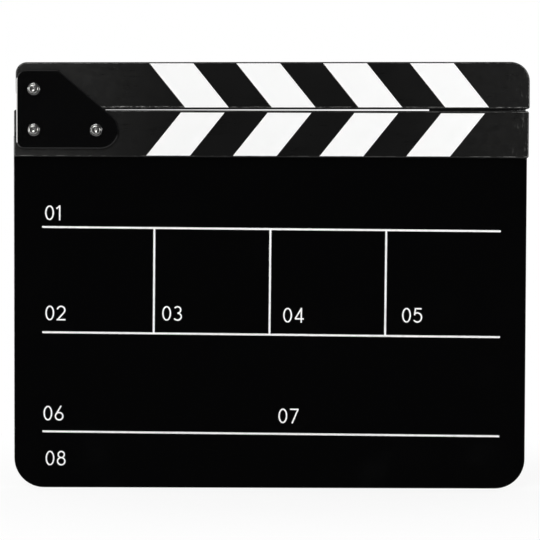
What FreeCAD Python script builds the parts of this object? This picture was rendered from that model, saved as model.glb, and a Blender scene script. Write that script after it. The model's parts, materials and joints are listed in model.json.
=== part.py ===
import FreeCAD, Part
import os
import Sketcher

# Clapperboard: an acrylic slate is glued into the groove of a fixed wooden stick, and a second stick
# swings over it on a pivot between two hinge plates at the left end.
# +X runs along the sticks, -Y faces the viewer and +Z is up.
# The origin is the middle of the slate's lower edge. Lengths are in millimetres, angles in degrees.

SIZES = {
    # Slate, as wide as the sticks are long
    "board_width": 300.0,
    "slate_face_height": 194.15,
    "slate_thickness": 3.0,
    "slate_corner_radius": 17.4,
    "slate_edge_bevel": 0.3,
    # Sticks
    "stick_height": 27.3,
    "lower_stick_thickness": 10.0,
    "stick_edge_radius": 0.8,
    "stick_corner_ease": 0.4,
    "groove_depth": 12.0,
    "groove_clearance": 0.05,
    "stick_gap": 0.35,
    "closed_slant": 0.2,
    "lower_stick_shift": 0.6,
    "upper_stick_shift": 1.6,
    "upper_stick_trim": 0.6,
    "heel_radius": 10.9,
    "pivot_above_heel": 0.65,
    "tail_radius": 6.6,
    "nose_radius": 11.3,
    # White stripes
    "upper_stripe_start": 98.6,
    "lower_stripe_start": 97.25,
    "upper_stripe_inset": 0.9,
    "lower_stripe_inset": 1.4,
    "stripe_width": 25.45,
    "stripe_pitch": 50.5,
    "stripe_lean": 38.75,
    "stripe_count": 4,
    "stripe_film_thickness": 0.15,
    # Hinge plates
    "plate_thickness": 2.0,
    "plate_bevel": 0.7,
    "plate_left_margin": 1.6,
    "plate_top_reach": 11.1,
    "plate_slope": 40.3,
    "plate_end_radius": 10.8,
    "plate_end_reach": 2.2,
    "plate_top_corner": 6.0,
    "plate_bottom_corner": 4.5,
    "plate_screw_spacing": 36.2,
    "plate_screw_above_groove": 3.5,
    # Screws, washers and nuts
    "screw_diameter": 3.0,
    "screw_end_projection": 1.0,
    "screw_hole_clearance": 0.1,
    "screw_head_diameter": 5.6,
    "screw_head_height": 2.2,
    "screw_head_round": 1.5,
    "recess_span": 3.2,
    "recess_width": 0.9,
    "recess_depth": 1.2,
    "washer_diameter": 7.0,
    "washer_thickness": 0.5,
    "nut_width": 5.5,
    "nut_thickness": 2.4,
    "nut_corner_angle": 30.0,
    "thread_clearance": 0.03,
    "lock_nut_thickness": 4.0,
    "lock_collar_height": 1.2,
    "lock_collar_wall": 0.4,
    "lock_ring_diameter": 4.2,
    # Pivot
    "sleeve_diameter": 5.0,
    "pivot_running_clearance": 0.05,
    "pivot_side_play": 0.05,
    "friction_washer_diameter": 14.0,
    "friction_washer_thickness": 0.5,
    # Magnet strips that hold the sticks shut
    "magnet_strip_length": 56.0,
    "magnet_strip_width": 6.0,
    "magnet_strip_setback": 1.7,
    "magnet_clearance": 0.05,
}

# Places and sizes that follow from the driving ones, as expressions on the sheet
UPPER_THICKNESS = (
    "(sizes.lower_stick_thickness - 2 * sizes.friction_washer_thickness - 2 * sizes.pivot_side_play)"
)
LOWER_BOTTOM = "sizes.slate_face_height"
LOWER_TOP = "(sizes.slate_face_height + sizes.stick_height)"
LOWER_LEFT = "(sizes.lower_stick_shift - sizes.board_width / 2)"
LOWER_RIGHT = "(sizes.lower_stick_shift + sizes.board_width / 2)"
GROOVE_TOP = "(sizes.slate_face_height + sizes.groove_depth)"
UPPER_BOTTOM = "(sizes.slate_face_height + sizes.stick_height + sizes.stick_gap)"
UPPER_TOP = "(sizes.slate_face_height + 2 * sizes.stick_height + sizes.stick_gap)"
UPPER_LEFT = "(sizes.upper_stick_shift - sizes.board_width / 2)"
UPPER_RIGHT = "(sizes.upper_stick_shift + sizes.board_width / 2 - sizes.upper_stick_trim)"
SQUARE_CORNER = "(sizes.stick_edge_radius + sizes.stick_corner_ease)"
PIVOT_X = "(sizes.upper_stick_shift - sizes.board_width / 2 + sizes.heel_radius)"
PIVOT_Z = "(" + UPPER_BOTTOM + " + sizes.heel_radius + sizes.pivot_above_heel)"
SLANT = "(sizes.closed_slant * 1 deg)"
PLATE_SCREW_Z = "(sizes.slate_face_height + sizes.groove_depth + sizes.plate_screw_above_groove)"
PLATE_SCREW_RIGHT = "(" + PIVOT_X + " + sizes.plate_screw_spacing)"
SCREW_HOLE = "(sizes.screw_diameter + 2 * sizes.screw_hole_clearance)"
THREAD_HOLE = "(sizes.screw_diameter + 2 * sizes.thread_clearance)"
MAGNET_RIGHT = "(" + LOWER_RIGHT + " - sizes.magnet_strip_setback)"
MAGNET_LEFT = "(" + MAGNET_RIGHT + " - sizes.magnet_strip_length)"
MAGNET_GAP = "(sizes.stick_gap + (" + MAGNET_LEFT + " - " + PIVOT_X + ") * tan(" + SLANT + "))"
MAGNET_THICKNESS = "((" + MAGNET_GAP + " - sizes.magnet_clearance) / 2)"
PLATE_FRONT = "(-sizes.lower_stick_thickness / 2 - sizes.plate_thickness)"
PLATE_BACK = "(sizes.lower_stick_thickness / 2 + sizes.plate_thickness)"
WASHER_FRONT = "(" + PLATE_FRONT + " - sizes.washer_thickness)"
WASHER_BACK = "(" + PLATE_BACK + " + sizes.washer_thickness)"
SCREW_LENGTH = (
    "(sizes.lower_stick_thickness + 2 * sizes.plate_thickness + 2 * sizes.washer_thickness"
    " + sizes.lock_nut_thickness + sizes.screw_end_projection)"
)

# A distance under which two points of the model count as the same one
SAME_PLACE = 0.001

doc = FreeCAD.newDocument("clapperboard")
sheet = doc.addObject("Spreadsheet::Sheet", "sizes")
for row, (alias, number) in enumerate(SIZES.items(), start=1):
    sheet.set("A%d" % row, alias)
    sheet.set("B%d" % row, str(number))
    sheet.setAlias("B%d" % row, alias)
doc.recompute()


def value(expression):
    """Number that an expression on the sheet stands for."""
    return float(sheet.evalExpression(expression))


def new_body(label):
    body = doc.addObject("PartDesign::Body", label)
    body.Label = label
    return body


def new_sketch(body, name, plane="XZ_Plane"):
    """Empty sketch on one of the body's own origin planes."""
    sketch = body.newObject("Sketcher::SketchObject", name)
    for feature in body.Origin.OriginFeatures:
        if feature.Role == plane:
            sketch.AttachmentSupport = [(feature, "")]
    sketch.MapMode = "FlatFace"
    return sketch


def place_point(sketch, name, geometry, position, corner):
    """Ties a point of the sketch to two expressions, measured from the sketch's origin."""
    for kind, letter, expression in (("DistanceX", "x", corner[0]), ("DistanceY", "y", corner[1])):
        constraint = Sketcher.Constraint(kind, -1, 1, geometry, position, value(expression))
        sketch.renameConstraint(sketch.addConstraint(constraint), name + letter)
        sketch.setExpression("Constraints." + name + letter, expression)


def draw_polygon(sketch, corners):
    """Closed outline of straight lines, with each corner given by two expressions."""
    count = len(corners)
    points = [FreeCAD.Vector(value(x), value(y), 0) for x, y in corners]
    for index in range(count):
        sketch.addGeometry(Part.LineSegment(points[index], points[(index + 1) % count]))
    for index in range(count):
        sketch.addConstraint(Sketcher.Constraint("Coincident", index, 2, (index + 1) % count, 1))
        place_point(sketch, "corner%d" % index, index, 1, corners[index])


def draw_circle(sketch, centre, diameter):
    """Circle with its centre and diameter given by expressions."""
    middle = FreeCAD.Vector(value(centre[0]), value(centre[1]), 0)
    upright = FreeCAD.Vector(0, 0, 1)
    index = sketch.addGeometry(Part.Circle(middle, upright, value(diameter) / 2))
    place_point(sketch, "centre%d" % index, index, 3, centre)
    constraint = Sketcher.Constraint("Diameter", index, value(diameter))
    name = "diameter%d" % index
    sketch.renameConstraint(sketch.addConstraint(constraint), name)
    sketch.setExpression("Constraints." + name, diameter)


def rectangle(left, right, bottom, top):
    return [(left, bottom), (right, bottom), (right, top), (left, top)]


def add_pad(body, name, sketch, length, both_ways=False, backwards=False):
    pad = body.newObject("PartDesign::Pad", name)
    pad.Profile = sketch
    pad.Midplane = both_ways
    pad.Reversed = backwards
    pad.setExpression("Length", length)
    doc.recompute()
    return pad


def check_cut(body, name, volume_before):
    """A cut that misses the solid shows no error, so its volume is compared."""
    doc.recompute()
    if body.Shape.Volume >= volume_before:
        raise RuntimeError(body.Label + ": " + name + " cuts nothing")


def cut_through(body, name, sketch):
    """Pocket right through the body, both ways from the sketch's plane."""
    before = body.Shape.Volume
    pocket = body.newObject("PartDesign::Pocket", name)
    pocket.Profile = sketch
    pocket.Type = "ThroughAll"
    pocket.Midplane = True
    check_cut(body, name, before)


def edges_where(body, test):
    """Names of the body's edges that pass a test."""
    return ["Edge%d" % number for number, edge in enumerate(body.Shape.Edges, start=1) if test(edge)]


def dress_edges(body, kind, name, size, names):
    """Fillet (with a Radius) or Chamfer (with a Size) on named edges of the body's tip."""
    if not names:
        raise RuntimeError(body.Label + ": " + name + " finds no edge")
    base = body.Tip
    feature = body.newObject("PartDesign::" + kind, name)
    feature.Base = (base, names)
    feature.setExpression("Radius" if kind == "Fillet" else "Size", size)
    doc.recompute()


def round_corner(body, name, corner, radius):
    """Fillet on the edge that stands on one corner of an outline drawn in X and Z."""
    x, z = [value(expression) for expression in corner]

    def stands_there(edge):
        return all(
            max(abs(vertex.Point.x - x), abs(vertex.Point.z - z)) < SAME_PLACE for vertex in edge.Vertexes
        )

    dress_edges(body, "Fillet", name, radius, edges_where(body, stands_there))


def edges_at_depth(body, *depths):
    """Names of the edges that lie flat at one of the given Y places."""
    goals = [value(depth) for depth in depths]

    def lies_there(edge):
        box = edge.BoundBox
        return any(max(abs(box.YMin - goal), abs(box.YMax - goal)) < SAME_PLACE for goal in goals)

    return edges_where(body, lies_there)


def place(piece, x="0", y="0", z="0"):
    for axis, expression in (("x", x), ("y", y), ("z", z)):
        piece.setExpression("Placement.Base." + axis, expression)
    return piece


def swing_to_rest(piece, y="0"):
    """Turns a piece of the upper stick about the pivot to its rest, a little short of level."""
    toward_viewer = FreeCAD.Vector(0, -1, 0)
    turn = FreeCAD.Rotation(toward_viewer, value("sizes.closed_slant"))
    piece.Placement = FreeCAD.Placement(FreeCAD.Vector(), turn)
    piece.setExpression("Placement.Rotation.Angle", SLANT)
    versine = "(1 - cos(" + SLANT + "))"
    x = PIVOT_X + " * " + versine + " + " + PIVOT_Z + " * sin(" + SLANT + ")"
    z = PIVOT_Z + " * " + versine + " - " + PIVOT_X + " * sin(" + SLANT + ")"
    return place(piece, x, y, z)


def group(label, members):
    """Several separate solids of one kind under one name."""
    compound = doc.addObject("Part::Compound", label)
    compound.Label = label
    compound.Links = members
    return compound


def make_slate():
    body = new_body("slate_board")
    half = "sizes.board_width / 2"
    top = "(" + GROOVE_TOP + " - sizes.groove_clearance)"
    corners = rectangle("-" + half, half, "0", top)
    outline = new_sketch(body, "slate_outline")
    draw_polygon(outline, corners)
    add_pad(body, "slate_sheet", outline, "sizes.slate_thickness", both_ways=True)
    for name, corner in zip(("left_corner", "right_corner"), corners):
        round_corner(body, "slate_" + name, corner, "sizes.slate_corner_radius")
    faces = edges_at_depth(body, "-sizes.slate_thickness / 2", "sizes.slate_thickness / 2")
    dress_edges(body, "Chamfer", "slate_bevel", "sizes.slate_edge_bevel", faces)
    return body


def make_stick_blank(label, corners, thickness, radii):
    """Stick with rounded corners, in the outline's order, and eased edges all round."""
    body = new_body(label)
    outline = new_sketch(body, label + "_outline")
    draw_polygon(outline, corners)
    add_pad(body, label + "_blank", outline, thickness, both_ways=True)
    for index, (corner, radius) in enumerate(zip(corners, radii)):
        round_corner(body, label + "_corner%d" % index, corner, radius)
    faces = edges_at_depth(body, "-" + thickness + " / 2", thickness + " / 2")
    dress_edges(body, "Fillet", label + "_edges", "sizes.stick_edge_radius", faces)
    return body


def make_lower_stick():
    corners = rectangle(LOWER_LEFT, LOWER_RIGHT, LOWER_BOTTOM, LOWER_TOP)
    body = make_stick_blank("lower_stick", corners, "sizes.lower_stick_thickness", [SQUARE_CORNER] * 4)
    half_groove = "(sizes.slate_thickness / 2 + sizes.groove_clearance)"
    below = "(" + LOWER_BOTTOM + " - sizes.groove_depth)"
    groove = new_sketch(body, "slate_groove_section", "YZ_Plane")
    draw_polygon(groove, rectangle("-" + half_groove, half_groove, below, GROOVE_TOP))
    cut_through(body, "slate_groove", groove)
    holes = new_sketch(body, "plate_screw_holes_layout")
    for x in (PIVOT_X, PLATE_SCREW_RIGHT):
        draw_circle(holes, (x, PLATE_SCREW_Z), SCREW_HOLE)
    cut_through(body, "plate_screw_holes", holes)
    return body


def make_upper_stick():
    """The heel is rounded under the pivot, so the stick can swing past the lower one."""
    corners = rectangle(UPPER_LEFT, UPPER_RIGHT, UPPER_BOTTOM, UPPER_TOP)
    tail = "min(sizes.tail_radius; sizes.stick_height - sizes.heel_radius - sizes.stick_edge_radius)"
    nose = "min(sizes.nose_radius; sizes.stick_height - " + SQUARE_CORNER + " - sizes.stick_edge_radius)"
    radii = ["sizes.heel_radius", SQUARE_CORNER, nose, tail]
    body = make_stick_blank("upper_stick", corners, UPPER_THICKNESS, radii)
    bore = new_sketch(body, "pivot_bore_layout")
    draw_circle(bore, (PIVOT_X, PIVOT_Z), "(sizes.sleeve_diameter + 2 * sizes.pivot_running_clearance)")
    cut_through(body, "pivot_bore", bore)
    return swing_to_rest(body)


def make_stripes(label, start, inset, meeting_edge, far_edge):
    """Row of white films on a stick's face that lean away from the edge where the sticks meet."""
    body = new_body(label)
    reach = "(sizes.stick_height - sizes.stick_edge_radius - " + inset + ")"
    run = reach + " * tan(sizes.stripe_lean * 1 deg)"
    end = "(" + start + " + sizes.stripe_width)"
    corners = [
        (start, meeting_edge),
        (end, meeting_edge),
        (end + " - " + run, far_edge),
        (start + " - " + run, far_edge),
    ]
    outline = new_sketch(body, label + "_outline")
    draw_polygon(outline, corners)
    film = add_pad(body, label + "_film", outline, "sizes.stripe_film_thickness")
    row_of_films = body.newObject("PartDesign::LinearPattern", label + "_row")
    row_of_films.Originals = [film]
    row_of_films.Direction = (outline, ["H_Axis"])
    row_of_films.Mode = "Spacing"
    row_of_films.setExpression("Offset", "sizes.stripe_pitch")
    row_of_films.setExpression("Occurrences", "sizes.stripe_count")
    body.Tip = row_of_films
    return body


def make_hinge_plate(label, backwards):
    """Corner plate: the sloping edge runs tangent into the round end about the far screw."""
    body = new_body(label)
    left = "(" + LOWER_LEFT + " + sizes.plate_left_margin)"
    top = "(" + PIVOT_Z + " + sizes.plate_top_reach)"
    end_x = "(" + PLATE_SCREW_RIGHT + " + sizes.plate_end_reach)"
    bottom = "(" + PLATE_SCREW_Z + " - sizes.plate_end_radius)"
    slope = "(sizes.plate_slope * 1 deg)"
    rise = "(" + top + " - " + PLATE_SCREW_Z + ")"
    shoulder = end_x + " + (sizes.plate_end_radius - " + rise + " * cos(" + slope + ")) / sin(" + slope + ")"
    point = end_x + " + sizes.plate_end_radius / tan(" + slope + " / 2)"
    corners = [(left, bottom), (point, bottom), (shoulder, top), (left, top)]
    radii = ["sizes.plate_bottom_corner", "sizes.plate_end_radius", None, "sizes.plate_top_corner"]
    outline = new_sketch(body, label + "_outline")
    draw_polygon(outline, corners)
    add_pad(body, label + "_blank", outline, "sizes.plate_thickness", backwards=backwards)
    for index, (corner, radius) in enumerate(zip(corners, radii)):
        if radius:
            round_corner(body, label + "_corner%d" % index, corner, radius)
    outer_face = "sizes.plate_thickness" if backwards else "-sizes.plate_thickness"
    dress_edges(body, "Chamfer", label + "_bevel", "sizes.plate_bevel", edges_at_depth(body, outer_face))
    holes = new_sketch(body, label + "_holes_layout")
    for centre in ((PIVOT_X, PIVOT_Z), (PIVOT_X, PLATE_SCREW_Z), (PLATE_SCREW_RIGHT, PLATE_SCREW_Z)):
        draw_circle(holes, centre, SCREW_HOLE)
    cut_through(body, label + "_holes", holes)
    stick_face = "sizes.lower_stick_thickness / 2"
    return place(body, y=stick_face if backwards else "-" + stick_face)


def make_ring(label, outer, inner, length, back, x=PIVOT_X, z=PIVOT_Z):
    """Washer or sleeve about a screw's axis, with its back face at the given Y place."""
    body = new_body(label)
    outline = new_sketch(body, label + "_outline")
    draw_circle(outline, ("0", "0"), outer)
    draw_circle(outline, ("0", "0"), inner)
    add_pad(body, label + "_ring", outline, length)
    return place(body, x, back, z)


def make_screw(label, x, z):
    """Pan head screw with a turned crown and a cross recess; its head seats on the front washer."""
    body = new_body(label)
    shank = "sizes.screw_diameter / 2"
    head = "sizes.screw_head_diameter / 2"
    crown = "-sizes.screw_head_height"
    shoulder = "sizes.screw_head_round * (1 - sqrt(0.5))"
    profile = new_sketch(body, label + "_profile", "XY_Plane")
    draw_polygon(profile, [
        ("0", crown),
        (head + " - sizes.screw_head_round", crown),
        (head + " - " + shoulder, crown + " + " + shoulder),
        (head, crown + " + sizes.screw_head_round"),
        (head, "0"),
        (shank, "0"),
        (shank, SCREW_LENGTH),
        ("0", SCREW_LENGTH),
    ])
    turned = body.newObject("PartDesign::Revolution", label + "_turned")
    turned.Profile = profile
    turned.ReferenceAxis = (profile, ["V_Axis"])
    turned.Angle = 360
    doc.recompute()
    before = body.Shape.Volume
    arm = "sizes.recess_span / 2"
    blade = "sizes.recess_width / 2"
    cross = new_sketch(body, label + "_cross")
    cross.setExpression("AttachmentOffset.Base.z", "sizes.screw_head_height")
    quarter = [(arm, blade), (blade, blade), (blade, arm)]
    corners = []
    for x_sign, y_sign, order in (("", "", 1), ("-", "", -1), ("-", "-", 1), ("", "-", -1)):
        corners += [(x_sign + across, y_sign + along) for across, along in quarter[::order]]
    draw_polygon(cross, corners)
    recess = body.newObject("PartDesign::Pocket", label + "_recess")
    recess.Profile = cross
    recess.setExpression("Length", "sizes.recess_depth")
    check_cut(body, recess.Label, before)
    return place(body, x, WASHER_FRONT, z)


def make_nut_hex(label, thickness, x, z):
    """Hexagon nut on the rear washer, with its outer corners turned off."""
    body = new_body(label)
    flat = "sizes.nut_width / 2"
    side = "sizes.nut_width / (2 * sqrt(3))"
    point = "sizes.nut_width / sqrt(3)"
    outline = new_sketch(body, label + "_outline")
    draw_polygon(outline, [
        (flat, "-" + side),
        (flat, side),
        ("0", point),
        ("-" + flat, side),
        ("-" + flat, "-" + side),
        ("0", "-" + point),
    ])
    add_pad(body, label + "_hex", outline, thickness, backwards=True)
    before = body.Shape.Volume
    corner_drop = "(" + point + " - " + flat + ") * tan(sizes.nut_corner_angle * 1 deg)"
    section = new_sketch(body, label + "_corner_section", "XY_Plane")
    draw_polygon(section, [
        (flat, thickness),
        (point, thickness + " - " + corner_drop),
        (point, thickness),
    ])
    turned = body.newObject("PartDesign::Groove", label + "_corners")
    turned.Profile = section
    turned.ReferenceAxis = (section, ["V_Axis"])
    turned.Angle = 360
    check_cut(body, turned.Label, before)
    return place(body, x, WASHER_BACK, z)


def make_plate_nut(label, x, z):
    body = make_nut_hex(label, "sizes.nut_thickness", x, z)
    bore = new_sketch(body, label + "_bore_layout")
    draw_circle(bore, ("0", "0"), THREAD_HOLE)
    cut_through(body, label + "_bore", bore)
    return body


def make_lock_nut():
    """Nut with a collar that holds a nylon ring round the end of the pivot screw."""
    label = "pivot_lock_nut"
    hex_height = "(sizes.lock_nut_thickness - sizes.lock_collar_height)"
    body = make_nut_hex(label, hex_height, PIVOT_X, PIVOT_Z)
    collar = new_sketch(body, label + "_collar_layout")
    collar.setExpression("AttachmentOffset.Base.z", "-" + hex_height)
    draw_circle(collar, ("0", "0"), "sizes.lock_ring_diameter + 2 * sizes.lock_collar_wall")
    draw_circle(collar, ("0", "0"), "sizes.lock_ring_diameter")
    add_pad(body, label + "_collar", collar, "sizes.lock_collar_height", backwards=True)
    bore = new_sketch(body, label + "_bore_layout")
    draw_circle(bore, ("0", "0"), THREAD_HOLE)
    cut_through(body, label + "_bore", bore)
    return body


def make_magnet_strip(label, bottom):
    """Flat strip at the free end; the two strips meet first at their inner ends."""
    body = new_body(label)
    half = "sizes.magnet_strip_width / 2"
    outline = new_sketch(body, label + "_outline", "XY_Plane")
    outline.setExpression("AttachmentOffset.Base.z", bottom)
    draw_polygon(outline, rectangle(MAGNET_LEFT, MAGNET_RIGHT, "-" + half, half))
    add_pad(body, label + "_sheet", outline, MAGNET_THICKNESS)
    return body


def make_fasteners():
    """Screws, washers and nuts: one set on the pivot and one on each plate screw."""
    def washer(label, back, x, z):
        return make_ring(label, "sizes.washer_diameter", SCREW_HOLE, "sizes.washer_thickness", back, x, z)

    pieces = [
        make_screw("pivot_screw", PIVOT_X, PIVOT_Z),
        washer("pivot_front_washer", PLATE_FRONT, PIVOT_X, PIVOT_Z),
        washer("pivot_rear_washer", WASHER_BACK, PIVOT_X, PIVOT_Z),
        make_lock_nut(),
    ]
    screws = []
    front_washers = []
    rear_washers = []
    nuts = []
    for side, x in (("left", PIVOT_X), ("right", PLATE_SCREW_RIGHT)):
        screws.append(make_screw(side + "_plate_screw", x, PLATE_SCREW_Z))
        front_washers.append(washer(side + "_front_washer", PLATE_FRONT, x, PLATE_SCREW_Z))
        rear_washers.append(washer(side + "_rear_washer", WASHER_BACK, x, PLATE_SCREW_Z))
        nuts.append(make_plate_nut(side + "_plate_nut", x, PLATE_SCREW_Z))
    pieces.append(group("plate_screws", screws))
    pieces.append(group("plate_front_washers", front_washers))
    pieces.append(group("plate_rear_washers", rear_washers))
    pieces.append(group("plate_nuts", nuts))
    return pieces


def make_pivot():
    """Sleeve between the plates, a friction washer each side of the stick, and the nut's nylon ring."""
    half = "sizes.lower_stick_thickness / 2"
    washer_bore = "(sizes.sleeve_diameter + 2 * sizes.screw_hole_clearance)"
    washer = ("sizes.friction_washer_diameter", washer_bore, "sizes.friction_washer_thickness")
    ring_back = "(" + WASHER_BACK + " + sizes.lock_nut_thickness)"
    return [
        make_ring("pivot_sleeve", "sizes.sleeve_diameter", SCREW_HOLE, "sizes.lower_stick_thickness", half),
        make_ring("front_friction_washer", *washer, "(sizes.friction_washer_thickness - " + half + ")"),
        make_ring("rear_friction_washer", *washer, half),
        make_ring(
            "lock_nut_ring", "sizes.lock_ring_diameter", THREAD_HOLE, "sizes.lock_collar_height", ring_back
        ),
    ]


def make_sticks_and_slate():
    upper_face = "-" + UPPER_THICKNESS + " / 2"
    lower_face = "-sizes.lower_stick_thickness / 2"
    lower_inset = "max(sizes.lower_stripe_inset; sizes.stick_edge_radius)"
    upper_inset = "max(sizes.upper_stripe_inset; sizes.stick_edge_radius)"
    lower_stripes = make_stripes(
        "lower_stripes", "(" + LOWER_LEFT + " + sizes.lower_stripe_start)", lower_inset,
        LOWER_TOP + " - " + lower_inset, LOWER_BOTTOM + " + sizes.stick_edge_radius"
    )
    upper_stripes = make_stripes(
        "upper_stripes", "(" + UPPER_LEFT + " + sizes.upper_stripe_start)", upper_inset,
        UPPER_BOTTOM + " + " + upper_inset, UPPER_TOP + " - sizes.stick_edge_radius"
    )
    return [
        make_slate(),
        make_lower_stick(),
        make_upper_stick(),
        place(lower_stripes, y=lower_face),
        swing_to_rest(upper_stripes, y=upper_face),
        make_magnet_strip("lower_magnet_strip", LOWER_TOP),
        swing_to_rest(make_magnet_strip("upper_magnet_strip", UPPER_BOTTOM + " - " + MAGNET_THICKNESS)),
    ]


nodes = make_sticks_and_slate()
nodes.append(make_hinge_plate("front_hinge_plate", backwards=False))
nodes.append(make_hinge_plate("rear_hinge_plate", backwards=True))
nodes += make_pivot()
nodes += make_fasteners()
doc.recompute()

for item in doc.Objects:
    if "Invalid" in item.State or "Error" in item.State:
        raise RuntimeError(item.Label + " failed to compute")
for node in nodes:
    if node.Shape.isNull() or not node.Shape.isValid():
        raise RuntimeError(node.Label + " has no sound shape")

os.makedirs("parts", exist_ok=True)
for node in nodes:
    node.Shape.exportStep("parts/" + node.Label + ".step")
    print(node.Label, len(node.Shape.Solids), "solids", round(node.Shape.Volume, 1), "mm3")
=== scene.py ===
import json
import math

import bmesh
import bpy
from bpy.props import FloatProperty, FloatVectorProperty, PointerProperty
from mathutils import Matrix, Vector
from mathutils.geometry import delaunay_2d_cdt


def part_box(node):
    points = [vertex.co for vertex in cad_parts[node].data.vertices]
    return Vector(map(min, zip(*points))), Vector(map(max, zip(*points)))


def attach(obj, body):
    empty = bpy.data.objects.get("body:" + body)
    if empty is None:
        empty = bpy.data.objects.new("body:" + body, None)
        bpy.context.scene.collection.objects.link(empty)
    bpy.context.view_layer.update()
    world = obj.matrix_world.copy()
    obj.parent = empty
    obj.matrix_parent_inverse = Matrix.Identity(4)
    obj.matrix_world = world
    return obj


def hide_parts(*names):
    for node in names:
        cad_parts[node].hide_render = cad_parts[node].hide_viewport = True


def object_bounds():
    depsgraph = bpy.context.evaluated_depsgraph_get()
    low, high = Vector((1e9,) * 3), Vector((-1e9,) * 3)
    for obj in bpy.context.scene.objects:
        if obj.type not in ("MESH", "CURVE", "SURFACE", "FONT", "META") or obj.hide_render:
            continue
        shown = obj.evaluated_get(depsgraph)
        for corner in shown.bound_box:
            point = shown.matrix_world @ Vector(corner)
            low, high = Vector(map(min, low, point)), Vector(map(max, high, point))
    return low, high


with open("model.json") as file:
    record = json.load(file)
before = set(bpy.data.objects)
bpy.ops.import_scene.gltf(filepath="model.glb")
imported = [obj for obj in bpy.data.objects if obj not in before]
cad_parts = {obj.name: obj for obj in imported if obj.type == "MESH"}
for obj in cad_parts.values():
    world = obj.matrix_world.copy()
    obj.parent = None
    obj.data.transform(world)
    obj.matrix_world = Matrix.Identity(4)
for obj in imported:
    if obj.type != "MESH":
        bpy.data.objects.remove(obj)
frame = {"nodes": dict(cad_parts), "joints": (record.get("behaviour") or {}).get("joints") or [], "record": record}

bl_info = {
    "name": "Clapperboard looks",
    "version": (1, 0, 0),
    "blender": (4, 5, 0),
    "location": "View3D > Sidebar > Clapperboard",
    "description": "Dresses the clapperboard with finishes, print, fine fasteners and a studio stage",
    "category": "Object",
}

# Lengths are in metres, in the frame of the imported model: +X along the sticks, -Y to the viewer, +Z up.
MM = 0.001
CAD_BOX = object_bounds()
NODES = frame["nodes"]
SLATE_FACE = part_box("slate_board")[0].y

# The screws run along Y. Heads and nuts bear on the seats, and the washers below them on the plates.
SCREW_LOW, SCREW_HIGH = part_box("pivot_screw")
WASHER_LOW, WASHER_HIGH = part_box("pivot_front_washer")
WASHER_RADIUS = (WASHER_HIGH.z - WASHER_LOW.z) / 2
FRONT_SEAT, FRONT_PLATE = WASHER_LOW.y, WASHER_HIGH.y
REAR_PLATE, REAR_SEAT = [corner.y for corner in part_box("pivot_rear_washer")]
LOCK_NUT_LOW, LOCK_NUT_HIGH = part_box("pivot_lock_nut")
NUT_WIDTH = LOCK_NUT_HIGH.x - LOCK_NUT_LOW.x
PLATE_NUT_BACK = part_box("plate_nuts")[1].y
LOCK_RING_LOW, LOCK_RING_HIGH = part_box("lock_nut_ring")
LOCK_RING_RADIUS = (LOCK_RING_HIGH.x - LOCK_RING_LOW.x) / 2
PIVOT = Vector(frame["joints"][0]["pos_m"])
PLATE_WASHERS_LOW, PLATE_WASHERS_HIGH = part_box("plate_front_washers")
PLATE_SCREW_HEIGHT = (PLATE_WASHERS_LOW.z + PLATE_WASHERS_HIGH.z) / 2
SCREW_AXES = {
    "pivot": Vector((PIVOT.x, 0, PIVOT.z)),
    "left": Vector((PLATE_WASHERS_LOW.x + WASHER_RADIUS, 0, PLATE_SCREW_HEIGHT)),
    "right": Vector((PLATE_WASHERS_HIGH.x - WASHER_RADIUS, 0, PLATE_SCREW_HEIGHT)),
}


class SlateLook(bpy.types.PropertyGroup):
    """Finish of the acrylic sheet."""

    colour: FloatVectorProperty(
        name="Acrylic", description="Colour of the black sheet", subtype="COLOR", size=3, min=0, max=1,
        default=(0.0008, 0.0008, 0.0009))
    edge_colour: FloatVectorProperty(
        name="Cut edge", description="Colour of the sawn and scraped edge", subtype="COLOR", size=3, min=0,
        max=1, default=(0.012, 0.012, 0.012))
    gloss_roughness: FloatProperty(
        name="Roughness", description="Roughness of the polished face", subtype="FACTOR", min=0, max=1,
        default=0.06)


class PrintLook(bpy.types.PropertyGroup):
    """Lines and numbers printed on the slate."""

    ink: FloatVectorProperty(
        name="Ink", description="Colour of the white print", subtype="COLOR", size=3, min=0, max=1,
        default=(0.95, 0.95, 0.946))
    film: FloatProperty(
        name="Film", description="How far the print stands proud of the sheet", unit="LENGTH",
        default=0.05 * MM)
    rule_width: FloatProperty(
        name="Rule width", description="Width of the printed lines", unit="LENGTH", default=1.15 * MM)
    rule_left: FloatProperty(
        name="Rule start", description="Left end of the long lines", unit="LENGTH", default=-133.4 * MM)
    rule_right: FloatProperty(
        name="Rule end", description="Right end of the long lines", unit="LENGTH", default=135.0 * MM)
    numeral_height: FloatProperty(
        name="Numeral height", description="Height of the field numbers", unit="LENGTH", default=8.7 * MM)
    numeral_stroke: FloatProperty(
        name="Numeral stroke", description="Stroke width of the field numbers", unit="LENGTH",
        default=0.88 * MM)


class StickLook(bpy.types.PropertyGroup):
    """Finish of the two wooden sticks."""

    paint: FloatVectorProperty(
        name="Paint", description="Colour of the satin black paint", subtype="COLOR", size=3, min=0, max=1,
        default=(0.0015, 0.0015, 0.0015))
    # The worn edge colour is also what the painted sheen on the sticks' ends and the painted highlight above the
    # upper stick's lower edge are mixed towards
    bare_and_sheen: FloatVectorProperty(
        name="Worn edge", description="Colour where the paint is rubbed through", subtype="COLOR", size=3,
        min=0, max=1, default=(0.22, 0.218, 0.21))
    roughness: FloatProperty(
        name="Roughness", description="Roughness of the satin paint", subtype="FACTOR", min=0, max=1,
        default=0.22)
    wear: FloatProperty(
        name="Wear", description="How much of the edges is rubbed", subtype="FACTOR", min=0, max=1,
        default=0.42)
    # Reach from the middle to where the handling wear and the painted sheen on the sticks' ends are strongest
    handling_and_sheen_reach: FloatProperty(
        name="Handled reach", description="From the middle to where hands have dulled the sticks most",
        unit="LENGTH", default=150 * MM)


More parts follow.
